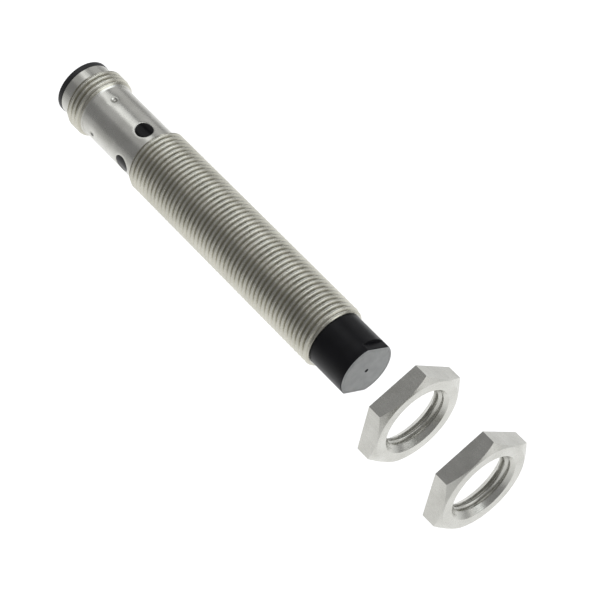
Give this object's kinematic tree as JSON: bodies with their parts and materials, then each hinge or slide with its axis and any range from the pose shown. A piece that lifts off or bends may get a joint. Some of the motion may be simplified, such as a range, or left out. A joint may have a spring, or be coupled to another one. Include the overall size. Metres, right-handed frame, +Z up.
{
  "type": "cylindrical proximity sensor",
  "caption": "Inductive proximity sensor in a threaded metal barrel, with a plastic sensing head, indicator windows in its neck, a threaded pin connector and loose hexagon mounting nuts.",
  "frame": {"origin": "centre of the sensing face", "axes": "+X along the barrel and out of the sensing face, +Z up, square to the circuit board"},
  "size_m": [0.1068, 0.0188, 0.0192],
  "materials": {
    "nickel_plate": "satin nickel plating over turned brass",
    "black_cap": "moulded black plastic with a fine satin skin",
    "black_insert": "moulded black plastic",
    "smoked_window": "dark smoked light-guide plastic, glossy",
    "gold_contact": "gold plated contact brass",
    "ferrite": "dull sintered ferrite",
    "bobbin_plastic": "natural moulded plastic",
    "copper_wire": "enamelled copper wire",
    "casting_resin": "cast resin",
    "board_laminate": "green solder mask over glass laminate",
    "chip_plastic": "moulded black component plastic",
    "ceramic_part": "sintered ceramic with tinned ends",
    "light_lens": "clear yellow lens",
    "tinned_wire": "tinned copper wire",
    "seal_rubber": "soft black rubber"
  },
  "bodies": {
    "sensor_body": {"housing": "nickel_plate", "sensing_cap": "black_cap", "ferrite_core": "ferrite", "coil_bobbin": "bobbin_plastic", "sensing_coil": "copper_wire", "coil_leads": "copper_wire", "coil_resin": "casting_resin", "circuit_board": "board_laminate", "oscillator_chip": "chip_plastic", "output_transistor": "chip_plastic", "tuning_capacitor": "ceramic_part", "small_resistors": "chip_plastic", "small_capacitors": "ceramic_part", "protection_diodes": "chip_plastic", "indicator_lights": "light_lens", "light_guide": "smoked_window", "connector_insert": "black_insert", "insert_seal": "seal_rubber", "contact_pin_1": "gold_contact", "contact_pin_2": "gold_contact", "contact_pin_3": "gold_contact", "contact_pin_4": "gold_contact", "link_wires": "tinned_wire"},
    "rear_nut": {"rear_nut": "nickel_plate"},
    "front_nut": {"front_nut": "nickel_plate"}
  },
  "joints": [
    {"name": "rear_nut_travel", "type": "slide", "parent": "sensor_body", "child": "rear_nut", "axis": [1, 0, 0], "range_m": [-0.066, 0]},
    {"name": "front_nut_travel", "type": "slide", "parent": "rear_nut", "child": "front_nut", "axis": [1, 0, 0], "range_m": [-0.012, 0.03]}
  ]
}
